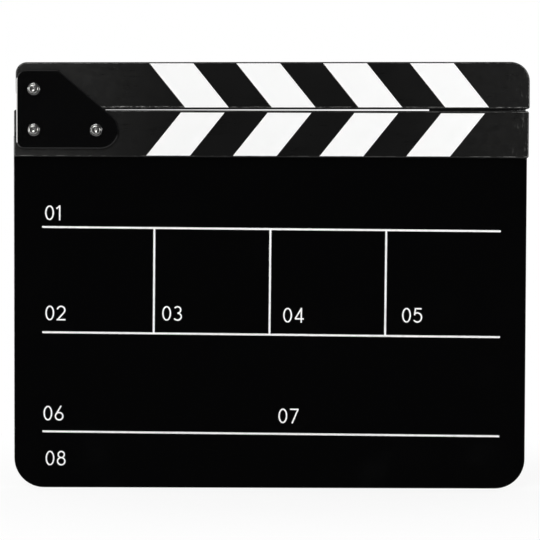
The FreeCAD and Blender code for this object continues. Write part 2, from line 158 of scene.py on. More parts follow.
class StripeLook(bpy.types.PropertyGroup):
    """Finish of the white stripes."""

    white: FloatVectorProperty(
        name="White", description="Colour of the white film", subtype="COLOR", size=3, min=0, max=1,
        default=(0.92, 0.92, 0.916))
    roughness: FloatProperty(
        name="Roughness", description="Roughness of the film", subtype="FACTOR", min=0, max=1, default=0.5)


class PlateLook(bpy.types.PropertyGroup):
    """Finish of the hinge plates."""

    enamel: FloatVectorProperty(
        name="Enamel", description="Colour of the gloss black enamel", subtype="COLOR", size=3, min=0,
        max=1, default=(0.002, 0.002, 0.0021))
    roughness: FloatProperty(
        name="Roughness", description="Roughness of the enamel", subtype="FACTOR", min=0, max=1,
        default=0.08)


class FastenerLook(bpy.types.PropertyGroup):
    """Screws, washers and nuts."""

    steel: FloatVectorProperty(
        name="Nickel", description="Colour of the bright plating", subtype="COLOR", size=3, min=0, max=1,
        default=(0.65, 0.644, 0.63))
    roughness: FloatProperty(
        name="Roughness", description="Roughness of the plating", subtype="FACTOR", min=0, max=1,
        default=0.15)
    crown_radius: FloatProperty(
        name="Crown radius", description="Radius of the head's domed top", unit="LENGTH", default=12 * MM)
    shoulder_radius: FloatProperty(
        name="Shoulder radius", description="Rounding between the crown and the head's side", unit="LENGTH",
        default=0.8 * MM)
    recess_span: FloatProperty(
        name="Recess span", description="Length of the cross recess level with the crown", unit="LENGTH",
        default=3.6 * MM)
    recess_width: FloatProperty(
        name="Recess width", description="Width of the recess's arms at the crown", unit="LENGTH",
        default=1.0 * MM)
    recess_depth: FloatProperty(
        name="Recess depth", description="Depth of the pit on the screw's axis", unit="LENGTH",
        default=1.5 * MM)
    ramp_depth: FloatProperty(
        name="Ramp depth", description="Depth at which the recess's arms run into the pit", unit="LENGTH",
        default=0.55 * MM)
    pit_width: FloatProperty(
        name="Pit width", description="Width of the pit on the screw's axis", unit="LENGTH",
        default=0.9 * MM)
    thread_radius: FloatProperty(
        name="Thread radius", description="Outer radius of the thread", unit="LENGTH", default=1.5 * MM)
    thread_pitch: FloatProperty(
        name="Thread pitch", description="Advance of the thread in a turn", unit="LENGTH", default=0.5 * MM)
    thread_depth: FloatProperty(
        name="Thread depth", description="Depth of the thread's groove", unit="LENGTH", default=0.29 * MM)
    edge_round: FloatProperty(
        name="Edge rounding", description="Rounding of the washers' edges", unit="LENGTH",
        default=0.2 * MM)


class PivotLook(bpy.types.PropertyGroup):
    """Sleeve, friction washers, nylon ring and magnet strips."""

    brass: FloatVectorProperty(
        name="Brass", description="Colour of the turned sleeve", subtype="COLOR", size=3, min=0, max=1,
        default=(0.72, 0.52, 0.22))
    nylon: FloatVectorProperty(
        name="Nylon", description="Colour of the friction washers and the nut's ring", subtype="COLOR",
        size=3, min=0, max=1, default=(0.78, 0.77, 0.72))
    magnet: FloatVectorProperty(
        name="Magnet rubber", description="Colour of the magnet strips", subtype="COLOR", size=3, min=0,
        max=1, default=(0.0025, 0.0025, 0.0025))


class StageLook(bpy.types.PropertyGroup):
    """Camera, lamps and floor."""

    distance: FloatProperty(
        name="Camera distance", description="From the aim to the camera", unit="LENGTH", default=1.2)
    elevation: FloatProperty(
        name="Camera elevation", description="Angle of the camera above the horizon", subtype="ANGLE",
        default=math.radians(2.4))
    roll: FloatProperty(
        name="Camera roll", description="Turn of the camera about its own axis", subtype="ANGLE",
        default=math.radians(0.17))
    lens: FloatProperty(
        name="Lens", description="Focal length for a 36 mm wide sensor", unit="CAMERA", default=137.0)
    aim: FloatVectorProperty(
        name="Aim", description="Point in the middle of the picture", subtype="TRANSLATION", size=3,
        default=(0, -5 * MM, 128.45 * MM))
    left_power: FloatProperty(
        name="Left lamp", description="Power of the left soft lamp", unit="POWER", default=11)
    right_power: FloatProperty(
        name="Right lamp", description="Power of the right soft lamp", unit="POWER", default=6.8)
    rim_power: FloatProperty(
        name="Rim lamp", description="Power of the strip lamp that lights the hinge end", unit="POWER",
        default=5)
    back_power: FloatProperty(
        name="Back lamps", description="Power of each of the two soft lamps behind the board", unit="POWER",
        default=7)
    fill: FloatProperty(
        name="Fill", description="Strength of the light from all round but the front", min=0, default=0.42)
    floor_colour: FloatVectorProperty(
        name="Floor", description="Colour of the pale floor", subtype="COLOR", size=3, min=0, max=1,
        default=(0.9, 0.9, 0.9))


LOOKS = {
    "slate_look": SlateLook,
    "print_look": PrintLook,
    "stick_look": StickLook,
    "stripe_look": StripeLook,
    "plate_look": PlateLook,
    "fastener_look": FastenerLook,
    "pivot_look": PivotLook,
    "stage_look": StageLook,
}


class Wire:
    """Output socket in a node tree; sums on it add Math nodes to that tree."""

    def __init__(self, tree, socket=None):
        self.tree = tree
        self.socket = socket

    def node(self, kind, settings=None, inputs=None, output=0):
        """Adds a node of any kind: first its settings, then the values or links of its inputs."""
        made = self.tree.nodes.new(kind)
        for name, setting in (settings or {}).items():
            setattr(made, name, setting)
        for name, given in (inputs or {}).items():
            if isinstance(given, Wire):
                self.tree.links.new(given.socket, made.inputs[name])
            else:
                made.inputs[name].default_value = given
        return Wire(self.tree, made.outputs[output] if made.outputs else None)

    def maths(self, operation, first, second):
        """Adds a Math node; each side of it is a wire or a number."""
        return self.node("ShaderNodeMath", {"operation": operation}, {0: first, 1: second})

    def __add__(self, other):
        return self.maths("ADD", self, other)

    def __radd__(self, other):
        return self.maths("ADD", other, self)

    def __sub__(self, other):
        return self.maths("SUBTRACT", self, other)

    def __rsub__(self, other):
        return self.maths("SUBTRACT", other, self)

    def __mul__(self, other):
        return self.maths("MULTIPLY", self, other)

    def __rmul__(self, other):
        return self.maths("MULTIPLY", other, self)

    def __pow__(self, other):
        return self.maths("POWER", self, other)

    def largest(self, other):
        return self.maths("MAXIMUM", self, other)

    def absolute(self):
        return self.maths("ABSOLUTE", self, 0)


def cleared_tree(owner):
    """Emptied node tree of a material or a world, as the wire that its first nodes start from."""
    owner.use_nodes = True
    owner.node_tree.nodes.clear()
    return Wire(owner.node_tree)


def output_of(wire, kind, output, inputs=None):
    """One named output of a node that has no settings."""
    return wire.node(kind, None, inputs, output)


def axis_part(place, axis):
    """Part of a place or a direction along one axis."""
    return output_of(place, "ShaderNodeSeparateXYZ", axis, {"Vector": place})


def smooth(wire, low, high):
    """0 below the low value and 1 above the high one, with a soft step between."""
    settings = {"interpolation_type": "SMOOTHSTEP"}
    return wire.node("ShaderNodeMapRange", settings, {"Value": wire, "From Min": low, "From Max": high})


def noise(place, scale, detail=2.0, roughness=0.5):
    """Cloudy pattern from 0 to 1; the scale is the number of waves in a metre."""
    return place.node(
        "ShaderNodeTexNoise", None,
        {"Vector": place, "Scale": scale, "Detail": detail, "Roughness": roughness})


def stretched(place, x, y, z):
    """Place multiplied along each axis, for patterns that are longer one way."""
    return place.node("ShaderNodeVectorMath", {"operation": "MULTIPLY"}, {0: place, 1: (x, y, z)})


def length_of(place):
    """Distance of a place from the origin."""
    return place.node("ShaderNodeVectorMath", {"operation": "LENGTH"}, {0: place}, "Value")


def mixed(factor, first, second):
    """Colour between two others; a plain colour is three numbers."""
    colours = [c if isinstance(c, Wire) else (*c, 1.0) for c in (first, second)]
    # The node's colours are its inputs 6 and 7, and its mixed colour is its output 2.
    return factor.node(
        "ShaderNodeMix", {"data_type": "RGBA"}, {0: factor, 6: colours[0], 7: colours[1]}, 2)


def shaded(colour, share):
    """Plain colour with each channel multiplied by a share."""
    return [share * channel for channel in colour]


def bumped(height, depth, strength=1.0):
    """Normal of a surface whose height pattern runs from 0 to the given depth in metres."""
    return height.node(
        "ShaderNodeBump", None, {"Strength": strength, "Distance": depth, "Height": height}, "Normal")


def arris(place):
    """1 midway round the edges between the faces and the sides of a flat piece, 0 on both."""
    across = axis_part(output_of(place, "ShaderNodeTexCoord", "Normal"), "Y").absolute()
    return 2 * across * (1 - across * across) ** 0.5


def specks(place, scale, size):
    """Small round dots, one in each cell of a scattered pattern."""
    distance = output_of(place, "ShaderNodeTexVoronoi", "Distance", {"Vector": place, "Scale": scale})
    return 1 - smooth(distance, size * 0.6, size)


def frame_colour(slot):
    """Base colour that the record gives to a material slot, for the plain viewport."""
    for entry in frame["record"]["materials"]:
        if entry["slot"] == slot:
            return entry["base_color"]
    raise RuntimeError("the record has no material slot named " + slot)


def build_finish(slot, recipe, look, name=None):
    """Material for a slot; its principled shader takes the inputs that a recipe works out from the place."""
    material = bpy.data.materials.new(name or slot)
    place = output_of(cleared_tree(material), "ShaderNodeTexCoord", "Object")
    shader = output_of(place, "ShaderNodeBsdfPrincipled", "BSDF", recipe(place, look))
    place.node("ShaderNodeOutputMaterial", None, {"Surface": shader})
    material.diffuse_color = (*frame_colour(slot), 1.0)
    return material


def polished_acrylic(place, look):
    """Black sheet: wiping marks, faint smudges and dust on the face, a duller cut edge."""
    edge = smooth(arris(place), 0.3, 0.8)
    smudge = smooth(noise(place, 26, 4), 0.5, 0.75)
    wiped = noise(stretched(place, 35, 600, 900), 1, 3)
    dust = specks(place, 190, 0.035) * smooth(noise(place, 60), 0.56, 0.66)
    height = 0.5 * wiped + 0.5 * noise(place, 140, 2)
    return {
        "Base Color": mixed(edge.largest(0.5 * dust), look.colour, look.edge_colour),
        "Roughness": look.gloss_roughness + 0.08 * smudge + 0.05 * wiped + 0.25 * edge,
        "Normal": bumped(height, 0.004 * MM, 0.4),
    }


def white_ink(place, look):
    """Screen printed ink: slightly uneven cover with a fine tooth."""
    cover = noise(place, 420, 3)
    tooth = noise(place, 2600, 2)
    return {
        "Base Color": mixed(smooth(cover, 0.3, 0.55), shaded(look.ink, 0.9), look.ink),
        "Roughness": 0.45 + 0.15 * tooth,
        "Normal": bumped(tooth, 0.006 * MM, 0.5),
    }


# Waves of the wood's grain in a metre: along the sticks, through their thickness and up their height
GRAIN_WAVES = (45, 700, 1100)
# Painted highlight just above the lower edge of the upper stick, broken into dashes like rubbed paint: its height
# in the middle of the board, how much it rises along the board, and half its width
LIP_HEIGHT = 223.5 * MM
LIP_SLOPE = 0.001
LIP_HALF_WIDTH = 0.2 * MM


def satin_paint(place, look):
    """Black paint on wood: grain shows through, hands have scuffed the ends, edges are rubbed in dashes. A painted
    sheen lightens the ends, and a painted highlight in dashes runs above the upper stick's lower edge.
    """
    along = axis_part(place, "X")
    height = axis_part(place, "Z")
    reach = look.handling_and_sheen_reach
    # Towards both ends: real handling wear, and the painted sheen below
    handling_and_sheen = smooth(along.absolute(), 0.4 * reach, reach)
    tips = smooth(along.absolute(), 0.91 * reach, 0.99 * reach)
    # Towards the hinge end, where the painted sheen and the painted highlight are strongest
    hinge_end = smooth(-1 * along, 0.2 * reach, reach)
    edge = arris(place)
    grain = noise(stretched(place, *GRAIN_WAVES), 1, 4, 0.6)
    cloud = noise(place, 75, 3)
    mottle = noise(place, 260, 4, 0.7)
    fine = noise(place, 1500, 2)
    dashes = noise(stretched(place, 260, 900, 900), 1, 3, 0.65) + 0.25 * fine
    line = smooth(edge, 0.05, 0.25) * (1 - smooth(edge, 0.4, 0.7)) * (0.35 + 0.65 * handling_and_sheen)
    rubbed = line * smooth(dashes, 0.98 - look.wear, 1.15 - look.wear)
    # Painted highlight along the top of the upper stick's lower rounding, strongest towards the hinge
    from_lip = (height - LIP_SLOPE * along - LIP_HEIGHT).absolute()
    lip = (1 - smooth(from_lip, LIP_HALF_WIDTH, 2 * LIP_HALF_WIDTH)) * (0.5 + 2.2 * hinge_end)
    # Rubbed edges together with the dashes of the painted highlight
    worn_and_highlight = rubbed.largest(lip * smooth(dashes, 0.52, 0.85))
    strokes = noise(stretched(place, 700, 900, 220), 1, 3, 0.6) + 0.06 * tips
    scuffs = (0.1 * handling_and_sheen + 0.08 * tips) * smooth(strokes, 0.6, 0.75)
    # Faint dull patches all over, plus a painted sheen that lightens the ends, most of all at the hinge
    patchy = 0.4 + 0.6 * smooth(mottle, 0.2, 0.8)
    dulled_and_sheen = (0.006 + 0.039 * handling_and_sheen + 0.05 * hinge_end) * patchy * (1 - edge)
    return {
        "Base Color": mixed(worn_and_highlight.largest(scuffs).largest(dulled_and_sheen), look.paint, look.bare_and_sheen),
        "Roughness": look.roughness + 0.06 * cloud + 0.08 * grain + 0.25 * edge,
        "Normal": bumped(0.7 * grain + 0.5 * mottle + 0.3 * fine - 0.6 * rubbed, 0.02 * MM, 0.6),
    }


def white_film(place, look):
    """White film on the sticks: faint grain from the wood below and a little handling grime."""
    grain = noise(stretched(place, *GRAIN_WAVES), 1, 3)
    grime = smooth(noise(place, 90, 5, 0.6), 0.6, 0.85)
    return {
        "Base Color": mixed(0.6 * grime, look.white, shaded(look.white, 0.93)),
        "Roughness": look.roughness + 0.1 * grain,
        "Normal": bumped(grain, 0.01 * MM, 0.4),
    }


def gloss_enamel(place, look):
    """Black enamel on a stamped plate: orange peel, and small rub marks on the bevel."""
    peel = noise(place, 520, 1)
    rub = smooth(arris(place), 0.5, 1) * smooth(noise(place, 900, 3), 0.62, 0.75)
    smear = smooth(noise(place, 110, 4), 0.45, 0.75)
    return {
        "Base Color": mixed(rub, look.enamel, shaded(look.enamel, 8)),
        "Roughness": look.roughness + 0.08 * smear + 0.1 * rub,
        "Normal": bumped(peel, 0.006 * MM, 0.5),
    }


def bright_plating(place, look):
    """Nickel plate over turned steel: rings about the screw's axis and dull spots."""
    radius = length_of(stretched(place, 1, 0, 1))
    rings = noise(radius.node("ShaderNodeCombineXYZ", None, {"X": radius}), 9000, 2)
    dull = smooth(noise(place, 700, 3), 0.5, 0.75)
    return {
        "Base Color": mixed(0.7 * dull, look.steel, shaded(look.steel, 0.62)),
        "Metallic": 1.0,
        "Roughness": look.roughness + 0.12 * dull + 0.06 * rings,
        "Normal": bumped(rings, 0.004 * MM, 0.5),
    }


def turned_brass(place, look):
    """Brass with fine tool marks round it, darker where it has aged."""
    marks = noise(stretched(place, 200, 14000, 200), 1, 2)
    aged = smooth(noise(place, 500, 3), 0.4, 0.7)
    return {
        "Base Color": mixed(aged, look.brass, shaded(look.brass, 0.7)),
        "Metallic": 1.0,
        "Roughness": 0.28 + 0.12 * marks,
        "Normal": bumped(marks, 0.004 * MM, 0.5),
    }


def natural_nylon(place, look):
    """Milky nylon with a faint cloud and a fine tooth."""
    cloud = noise(place, 420, 3)
    tooth = noise(place, 3000, 2)
    return {
        "Base Color": mixed(cloud, shaded(look.nylon, 0.85), look.nylon),
        "Roughness": 0.42 + 0.15 * tooth,
        "Subsurface Weight": 0.1,
        "Subsurface Radius": (1.0 * MM, 1.0 * MM, 0.8 * MM),
        "Normal": bumped(tooth, 0.008 * MM, 0.5),
    }


def magnet_rubber(place, look):
    """Dull black rubber with fine grey grains of magnet powder."""
    powder = noise(place, 2600, 2)
    return {
        "Base Color": mixed(smooth(powder, 0.45, 0.75), look.magnet, shaded(look.magnet, 2.2)),
        "Roughness": 0.7 + 0.2 * powder,
        "Specular IOR Level": 0.2,
        "Normal": bumped(powder, 0.02 * MM, 0.6),
    }


def dress(names, slot, recipe, look):
    """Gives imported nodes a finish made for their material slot."""
    material = build_finish(slot, recipe, look)
    for name in names:
        NODES[name].data.materials.clear()
        NODES[name].data.materials.append(material)


def add_object(name, data):
    """Object in the scene that shows a mesh, a lamp or a camera."""
    made = bpy.data.objects.new(name, data)
    bpy.context.scene.collection.objects.link(made)
    return made


# Angles in degrees past which an edge is shaded sharp
SHARP_ANGLE = 35
NUT_SHARP_ANGLE = 20


def add_piece(name, mesh, material, place=(0, 0, 0), sharp=SHARP_ANGLE, body="board", stands_for=()):
    """Object that rides on a body of the frame, shaded smooth between its sharp edges."""
    mesh.shade_smooth()
    mesh.set_sharp_from_angle(angle=math.radians(sharp))
    mesh.materials.append(material)
    piece = add_object(name, mesh)
    piece.location = place
    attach(piece, body)
    if stands_for:
        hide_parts(*stands_for)


def finished_mesh(name, bm):
    """Mesh from a bmesh, with its faces turned outwards; stops on an open or broken surface."""
    bmesh.ops.recalc_face_normals(bm, faces=bm.faces)
    if not all(edge.is_manifold for edge in bm.edges):
        raise RuntimeError(name + " has an open edge")
    mesh = bpy.data.meshes.new(name)
    bm.to_mesh(mesh)
    bm.free()
    return mesh


def arc(centre, radii, start, end, steps):
    """Points along an elliptical arc, with its angles in degrees."""
    points = []
    for step in range(steps + 1):
        angle = math.radians(start + (end - start) * step / steps)
        points.append((centre[0] + radii[0] * math.cos(angle), centre[1] + radii[1] * math.sin(angle)))
    return points


def at_angle(measure, angle):
    """A measure that is either a number or a function of the angle, as a number."""
    return measure(angle) if callable(measure) else measure


def turned_mesh(name, rings, steps, closed=False):
    """Solid turned about the Y axis. Each ring is (radius, along), as numbers or functions of the angle."""
    bm = bmesh.new()
    loops = []
    for radius, along in rings:
        if radius == 0:
            loops.append([bm.verts.new((0, along, 0))])
            continue
        loop = []
        for step in range(steps):
            angle = math.tau * step / steps
            reach = at_angle(radius, angle)
            corner = (reach * math.cos(angle), at_angle(along, angle), reach * math.sin(angle))
            loop.append(bm.verts.new(corner))
        loops.append(loop)
    pairs = list(zip(loops, loops[1:]))
    if closed:
        pairs.append((loops[-1], loops[0]))
    for first, second in pairs:
        for step in range(steps):
            after = (step + 1) % steps
            corners = [first[step % len(first)], first[after % len(first)]]
            corners += [second[after % len(second)], second[step % len(second)]]
            bm.faces.new(dict.fromkeys(corners))
    return finished_mesh(name, bm)


def ribbon(points, width):
    """Outline of a stroke of even width along a line of points."""
    left = []
    right = []
    for index, point in enumerate(points):
        before = Vector(points[max(index - 1, 0)])
        after = Vector(points[min(index + 1, len(points) - 1)])
        run = (after - before).normalized()
        side = Vector((-run.y, run.x)) * width / 2
        left.append(Vector(point) + side)
        right.append(Vector(point) - side)
    return right + left[::-1]


def film_mesh(name, outlines, face, film):
    """Thin raised film of joined outlines, drawn in X and Z on a face that looks to -Y."""
    corners = [corner for outline in outlines for corner in outline]
    loops = []
    start = 0
    for outline in outlines:
        loops.append(list(range(start, start + len(outline))))
        start += len(outline)
    inside_only = 1
    merge_distance = 1e-7
    points, _, triangles, _, _, sources = delaunay_2d_cdt(corners, [], loops, inside_only, merge_distance)
    bm = bmesh.new()
    verts = [bm.verts.new((point.x, face, point.y)) for point in points]
    for triangle, source in zip(triangles, sources):
        if source:
            bm.faces.new([verts[index] for index in triangle])
    bmesh.ops.delete(bm, geom=[vert for vert in bm.verts if not vert.link_faces], context="VERTS")
    raised = bmesh.ops.extrude_face_region(bm, geom=bm.faces[:], use_keep_orig=True)
    moved = [item for item in raised["geom"] if isinstance(item, bmesh.types.BMVert)]
    bmesh.ops.translate(bm, verts=moved, vec=(0, -film, 0))
    return finished_mesh(name, bm)


# Numerals are drawn one unit high: the width of most, the space after each and the steps in a curve
NUMERAL_WIDTH = 0.6
NUMERAL_GAP = 0.16
NUMERAL_STEPS = 20


def curve(centre, radii, start, end):
    """Curved stroke of a numeral."""
    return arc(centre, radii, start, end, NUMERAL_STEPS)


def oval(centre, radii, start=0):
    """Oval of a numeral as two open strokes, each half a turn long."""
    return [curve(centre, radii, turn, turn + 180) for turn in (start, start + 180)]


def numeral_strokes(digit, stroke):
    """Strokes of a plain numeral one unit high, with its width."""
    half = stroke / 2
    width = NUMERAL_WIDTH
    left, right, low, high = half, width - half, half, 1 - half
    middle = width / 2
    reach = middle - half
    if digit == "0":
        strokes = oval((middle, 0.5), (reach, 0.5 - half), 90)
    elif digit == "1":
        stem = 0.22
        width = stem + stroke
        strokes = [[(stem, 0), (stem, 1)], [(0.0, 0.78), (stem, high)]]
    elif digit == "2":
        bow = curve((middle, high - reach), (reach, reach), 170, -38)
        strokes = [bow, [bow[-1], (left + 0.02, low)], [(0.0, low), (width, low)]]
    elif digit == "3":
        upper = 0.215
        lower = 0.5 - half - upper
        strokes = [
            curve((middle - 0.03, high - upper), (upper, upper), 150, -90),
            curve((middle - 0.03, low + lower), (lower + 0.02, lower), 90, -150),
        ]
    elif digit == "4":
        stem = width - 0.14
        bar = 0.26
        strokes = [[(stem, 0), (stem, 1)], [(stem, high), (left, bar)], [(0.03, bar), (width + 0.03, bar)]]
    elif digit == "5":
        bowl = 0.31
        strokes = [
            [(0.12, high), (width - 0.05, high)],
            [(0.14, 1), (0.085, 0.5)],
            curve((middle - 0.03, low + bowl), (bowl - 0.03, bowl), 138, -145),
        ]
    elif digit == "6":
        ring = (middle, low + reach)
        touch = arc(ring, (reach, reach), 152, 152, steps=1)[0]
        strokes = oval(ring, (reach, reach)) + [[touch, (middle + 0.13, 1)]]
    elif digit == "7":
        strokes = [[(0.02, high), (width, high)], [(right + 0.01, high), (0.17, 0)]]
    elif digit == "8":
        upper = 0.205
        lower = 0.5 - half - upper
        strokes = oval((middle, high - upper), (upper, upper)) + oval((middle, low + lower), (lower, lower))
    else:
        raise RuntimeError("no numeral is drawn for " + digit)
    return strokes, width


def number_outlines(text, place, height, stroke):
    """Outlines of a number whose first numeral starts at the given place."""
    outlines = []
    across = 0.0
    for digit in text:
        strokes, width = numeral_strokes(digit, stroke / height)
        for line in strokes:
            points = [(place[0] + (across + x) * height, place[1] + z * height) for x, z in line]
            outlines.append(ribbon(points, stroke))
        across += width + NUMERAL_GAP
    return outlines


# Heights of the three long rules on the middle of the sheet and how far each sits askew
RULE_HEIGHTS = (152.27 * MM, 90.37 * MM, 32.0 * MM)
RULE_TILTS = (math.radians(-0.37), math.radians(-0.46), math.radians(-0.46))
# Where the short rules divide the first row
DIVIDERS = (-67.7 * MM, 0.2 * MM, 68.0 * MM)
# Fields from the top: the rule each number stands near, its left edge and its height over that rule
FIELDS = (
    (0, -131.7 * MM, 4.0 * MM),
    (1, -131.7 * MM, 7.0 * MM),
    (1, -63.2 * MM, 7.5 * MM),
    (1, 7.7 * MM, 7.2 * MM),
    (1, 77.4 * MM, 7.9 * MM),
    (2, -132.9 * MM, 6.4 * MM),
    (2, 5.1 * MM, 6.3 * MM),
    (2, -131.5 * MM, -20.1 * MM),
)


def tilted(outline, rule):
    """Outline turned about the middle of a long rule, as far as that rule sits askew."""
    centre = Vector((0, RULE_HEIGHTS[rule]))
    turn = Matrix.Rotation(RULE_TILTS[rule], 2)
    return [turn @ (Vector(point) - centre) + centre for point in outline]


class CLAPPER_OT_dress_slate(bpy.types.Operator):
    """Gives the sheet its polished black finish"""

    bl_idname = "clapper.dress_slate"
    bl_label = "Dress slate"

    def execute(self, context):
        dress(["slate_board"], "slate_acrylic", polished_acrylic, context.scene.slate_look)
        return {"FINISHED"}


class CLAPPER_OT_print_slate(bpy.types.Operator):
    """Prints the rules and the field numbers on the sheet"""

    bl_idname = "clapper.print_slate"
    bl_label = "Print slate"

    def execute(self, context):
        look = context.scene.print_look
        ink = build_finish("stripe_white", white_ink, look, "white_ink")
        outlines = []
        for rule, height in enumerate(RULE_HEIGHTS):
            line = [(look.rule_left, height), (look.rule_right, height)]
            outlines.append(tilted(ribbon(line, look.rule_width), rule))
        for x in DIVIDERS:
            line = [(x, RULE_HEIGHTS[0]), (x, RULE_HEIGHTS[1])]
            outlines.append(tilted(ribbon(line, look.rule_width), 0))
        mesh = film_mesh("printed_rules", outlines, SLATE_FACE, look.film)
        add_piece("printed_rules", mesh, ink)
        for number, (rule, x, over) in enumerate(FIELDS, start=1):
            name = "field_number_%d" % number
            place = (x, RULE_HEIGHTS[rule] + over)
            outlines = number_outlines("%02d" % number, place, look.numeral_height, look.numeral_stroke)
            outlines = [tilted(outline, rule) for outline in outlines]
            add_piece(name, film_mesh(name, outlines, SLATE_FACE, look.film), ink)
        return {"FINISHED"}


class CLAPPER_OT_dress_sticks(bpy.types.Operator):
    """Gives both sticks their worn satin paint"""

    bl_idname = "clapper.dress_sticks"
    bl_label = "Dress sticks"

    def execute(self, context):
        dress(["lower_stick", "upper_stick"], "stick_paint", satin_paint, context.scene.stick_look)
        return {"FINISHED"}


class CLAPPER_OT_dress_stripes(bpy.types.Operator):
    """Gives the stripes their white film"""

    bl_idname = "clapper.dress_stripes"
    bl_label = "Dress stripes"

    def execute(self, context):
        dress(["lower_stripes", "upper_stripes"], "stripe_white", white_film, context.scene.stripe_look)
        return {"FINISHED"}


class CLAPPER_OT_dress_plates(bpy.types.Operator):
    """Gives the hinge plates their gloss enamel"""

    bl_idname = "clapper.dress_plates"
    bl_label = "Dress hinge plates"

    def execute(self, context):
        plates = ["front_hinge_plate", "rear_hinge_plate"]
        dress(plates, "plate_enamel", gloss_enamel, context.scene.plate_look)
        return {"FINISHED"}


class CLAPPER_OT_dress_pivot(bpy.types.Operator):
    """Gives the sleeve, the friction washers and the magnet strips their finishes"""

    bl_idname = "clapper.dress_pivot"
    bl_label = "Dress pivot and magnets"

    def execute(self, context):
        look = context.scene.pivot_look
        dress(["pivot_sleeve"], "sleeve_brass", turned_brass, look)
        dress(["front_friction_washer", "rear_friction_washer"], "nylon", natural_nylon, look)
        dress(["lower_magnet_strip", "upper_magnet_strip"], "magnet_rubber", magnet_rubber, look)
        return {"FINISHED"}


def cross_cutter(look, crown):
    """Cross that is taken out of a screw's head: four arms that ramp down to a pit on the axis."""
    above = 0.3 * MM
    arm, blade, pit = look.recess_span / 2, look.recess_width / 2, look.pit_width / 2
    # Each level's place along the screw, the reach of its arms and half their width
    levels = (
        (crown - above, arm, blade),
        (crown, arm, blade),
        (crown + look.ramp_depth, pit, 0.75 * blade),
        (crown + look.recess_depth, 0.5 * pit, 0.35 * blade),
    )
    bm = bmesh.new()
    loops = []
    for along, tip, half in levels:
        loop = []
        for quarter in range(4):
            turn = Matrix.Rotation(quarter * math.pi / 2, 2)
            for corner in ((tip, -half), (tip, half), (half, half)):
                x, z = turn @ Vector(corner)
                loop.append(bm.verts.new((x, along, z)))
        loops.append(loop)
    for first, second in zip(loops, loops[1:]):
        for index in range(len(first)):
            after = (index + 1) % len(first)
            bm.faces.new((first[index], first[after], second[after], second[index]))
    bm.faces.new(loops[0])
    bm.faces.new(loops[-1])
    return finished_mesh("recess", bm)


def carved(mesh, cutter, turn):
    """The first mesh with the second one, turned about Y, taken out of it."""
    block = add_object("block", mesh)
    tool = add_object("tool", cutter)
    tool.rotation_euler.y = turn
    cut = block.modifiers.new("recess", "BOOLEAN")
    cut.operation = "DIFFERENCE"
    cut.solver = "EXACT"
    cut.object = tool
    result = bpy.data.meshes.new_from_object(block.evaluated_get(bpy.context.evaluated_depsgraph_get()))
    result.name = mesh.name + "_carved"
    for item in (block, tool):
        bpy.data.objects.remove(item)
    for spent in (mesh, cutter):
        bpy.data.meshes.remove(spent)
    return result


# Steps round each kind of turned piece; a nut's are a multiple of twelve, so that they meet its corners
SCREW_STEPS = 48
WASHER_STEPS = 64
NUT_STEPS = 72
# Clearance of the washers and nuts round the thread, and of the nylon ring in its nut and round the thread
WASHER_PLAY = 0.1 * MM
NUT_PLAY = 0.03 * MM
RING_PLAY = 0.01 * MM
# Width of the countersink in a nut's mouth
NUT_LEAD = 0.25 * MM


def thread_rings(look, start, end):
    """Rings of a screw thread between two places on the axis, with a chamfered tip."""
    steps_a_turn = 8
    tip_below_root = 0.1 * MM
    count = round((end - start) / look.thread_pitch * steps_a_turn)
    tip = look.thread_radius - look.thread_depth - tip_below_root

    def ring(along):
        def reach(angle):
            phase = (along / look.thread_pitch - angle / math.tau) % 1
            ridge = look.thread_radius - look.thread_depth * abs(2 * phase - 1)
            return min(ridge, tip + (end - along))

        return (reach, along)

    return [ring(start + (end - start) * step / count) for step in range(count + 1)]


def screw_mesh(name, look, turn):
    """Pan head screw along Y: domed crown, rounded shoulder, shank and threaded end."""
    lip = 0.15 * MM
    thread_before_plate = 1 * MM
    runout = 0.1 * MM
    crown, tip = SCREW_LOW.y, SCREW_HIGH.y
    head = (SCREW_HIGH.x - SCREW_LOW.x) / 2
    dome, shoulder = look.crown_radius, look.shoulder_radius
    reach = head - shoulder
    drop = dome - math.sqrt(dome ** 2 - reach ** 2)
    slope = math.degrees(math.asin(reach / dome))
    thread_start = REAR_PLATE - thread_before_plate
    rings = [(0, crown)]
    rings += arc((0, crown + dome), (dome, dome), -90, -90 + slope, steps=5)[1:]
    rings += arc((reach, crown + drop + shoulder), (shoulder, shoulder), -90 + slope, 0, steps=7)
    rings += [(head, FRONT_SEAT - lip), (head - lip, FRONT_SEAT)]
    rings += [(look.thread_radius, FRONT_SEAT), (look.thread_radius, thread_start)]
    rings += thread_rings(look, thread_start + runout, tip)
    rings += [(0, tip)]
    return carved(turned_mesh(name, rings, SCREW_STEPS), cross_cutter(look, crown), turn)


def washer_mesh(name, look, front, back):
    """Flat washer between two places on the axis, with rounded edges."""
    bore = look.thread_radius + WASHER_PLAY
    soft = look.edge_round
    rings = [(bore, front + soft), (bore + soft, front)]
    rings += arc((WASHER_RADIUS - soft, front + soft), (soft, soft), -90, 0, steps=4)
    rings += arc((WASHER_RADIUS - soft, back - soft), (soft, soft), 0, 90, steps=4)
    rings += [(bore + soft, back), (bore, back - soft)]
    return turned_mesh(name, rings, WASHER_STEPS, closed=True)


def hex_reach(angle):
    """Distance from a nut's axis to its side at an angle."""
    sixth = math.pi / 3
    return NUT_WIDTH / 2 / math.cos((angle + sixth / 2) % sixth - sixth / 2)


def hex_rings(front, back):
    """Outer rings of a hexagon with its corners turned off at both ends."""
    flat = 0.47 * NUT_WIDTH
    chamfer = math.radians(30)

    def corner_drop(angle):
        return (hex_reach(angle) - flat) * math.tan(chamfer)

    return [
        (flat, front),
        (hex_reach, lambda angle: front + corner_drop(angle)),
        (hex_reach, lambda angle: back - corner_drop(angle)),
        (flat, back),
    ]


